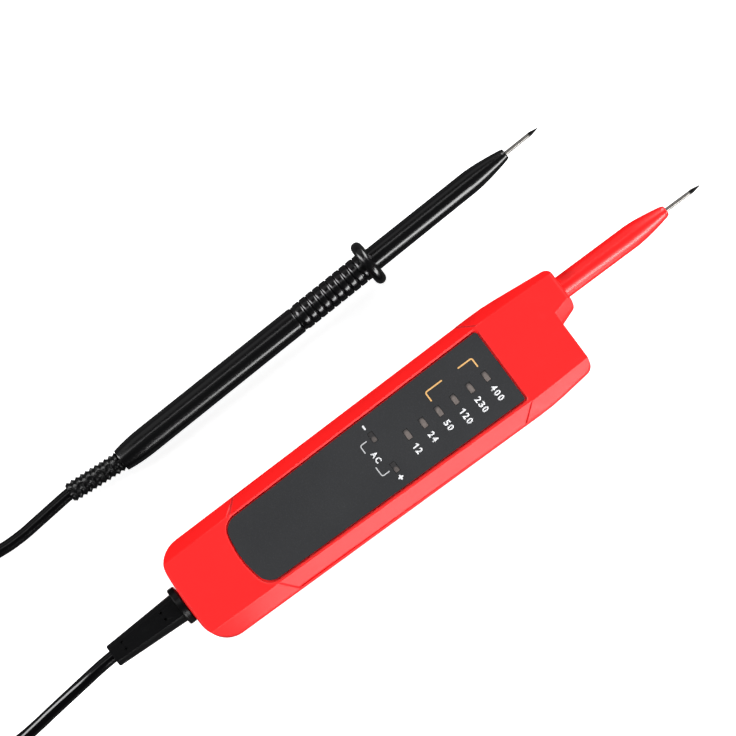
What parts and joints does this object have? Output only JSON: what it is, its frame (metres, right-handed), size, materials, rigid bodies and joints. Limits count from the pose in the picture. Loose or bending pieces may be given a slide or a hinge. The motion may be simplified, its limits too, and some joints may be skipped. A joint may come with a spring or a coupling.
{
  "type": "two-pole voltage tester",
  "caption": "Hand-held voltage tester: a moulded housing with lamp panel and needle finger, joined by one lead to a hand-held probe with finger guard.",
  "frame": {"origin": "on the flat rear face that the unit lies on, below the middle of its housing's length and width", "axes": "+X along the unit towards its needle, +Y towards the side where the black probe lies, +Z out of the front face, up"},
  "size_m": [0.3777, 0.1031, 0.026],
  "materials": {
    "red_shell": "smooth moulded, slightly glossy",
    "black_moulding": "smooth moulded",
    "soft_black": "smooth soft moulding",
    "lead_jacket": "smooth jacket",
    "panel": "fine matt foil",
    "seal": "matt",
    "needle_steel": "drawn and polished",
    "screw_steel": "zinc plated",
    "brass": "turned",
    "board": "solder mask",
    "lamp_epoxy": "cloudy cast",
    "cell_black": "matt",
    "resistor_lacquer": "lacquered",
    "thermistor_disc": "dipped",
    "chip_black": "moulded",
    "capacitor_sleeve": "sleeved can",
    "core_wire": "extruded"
  },
  "bodies": {
    "root": {"front_shell": "red_shell", "rear_shell": "red_shell", "sealing_cord": "seal", "face_panel": "panel", "housing_screws": "screw_steel", "probe_finger": "red_shell", "main_needle": "needle_steel", "needle_terminal": "brass", "circuit_board": "board", "board_screws": "screw_steel", "lamp_cells": "cell_black", "led_12v": "lamp_epoxy", "led_24v": "lamp_epoxy", "led_50v": "lamp_epoxy", "led_120v": "lamp_epoxy", "led_230v": "lamp_epoxy", "led_400v": "lamp_epoxy", "led_minus": "lamp_epoxy", "led_plus": "lamp_epoxy", "input_resistors": "resistor_lacquer", "thermistor": "thermistor_disc", "control_chip": "chip_black", "rectifier": "chip_black", "capacitor": "capacitor_sleeve", "unit_boot": "soft_black", "unit_core": "core_wire", "probe_barrel": "black_moulding", "probe_handle": "black_moulding", "probe_boot": "soft_black", "probe_needle": "needle_steel", "probe_terminal": "brass", "probe_core": "core_wire", "lead_unit_side": "lead_jacket", "lead_coil": "lead_jacket", "lead_probe_side": "lead_jacket", "coil_tie": "cell_black"}
  },
  "joints": []
}
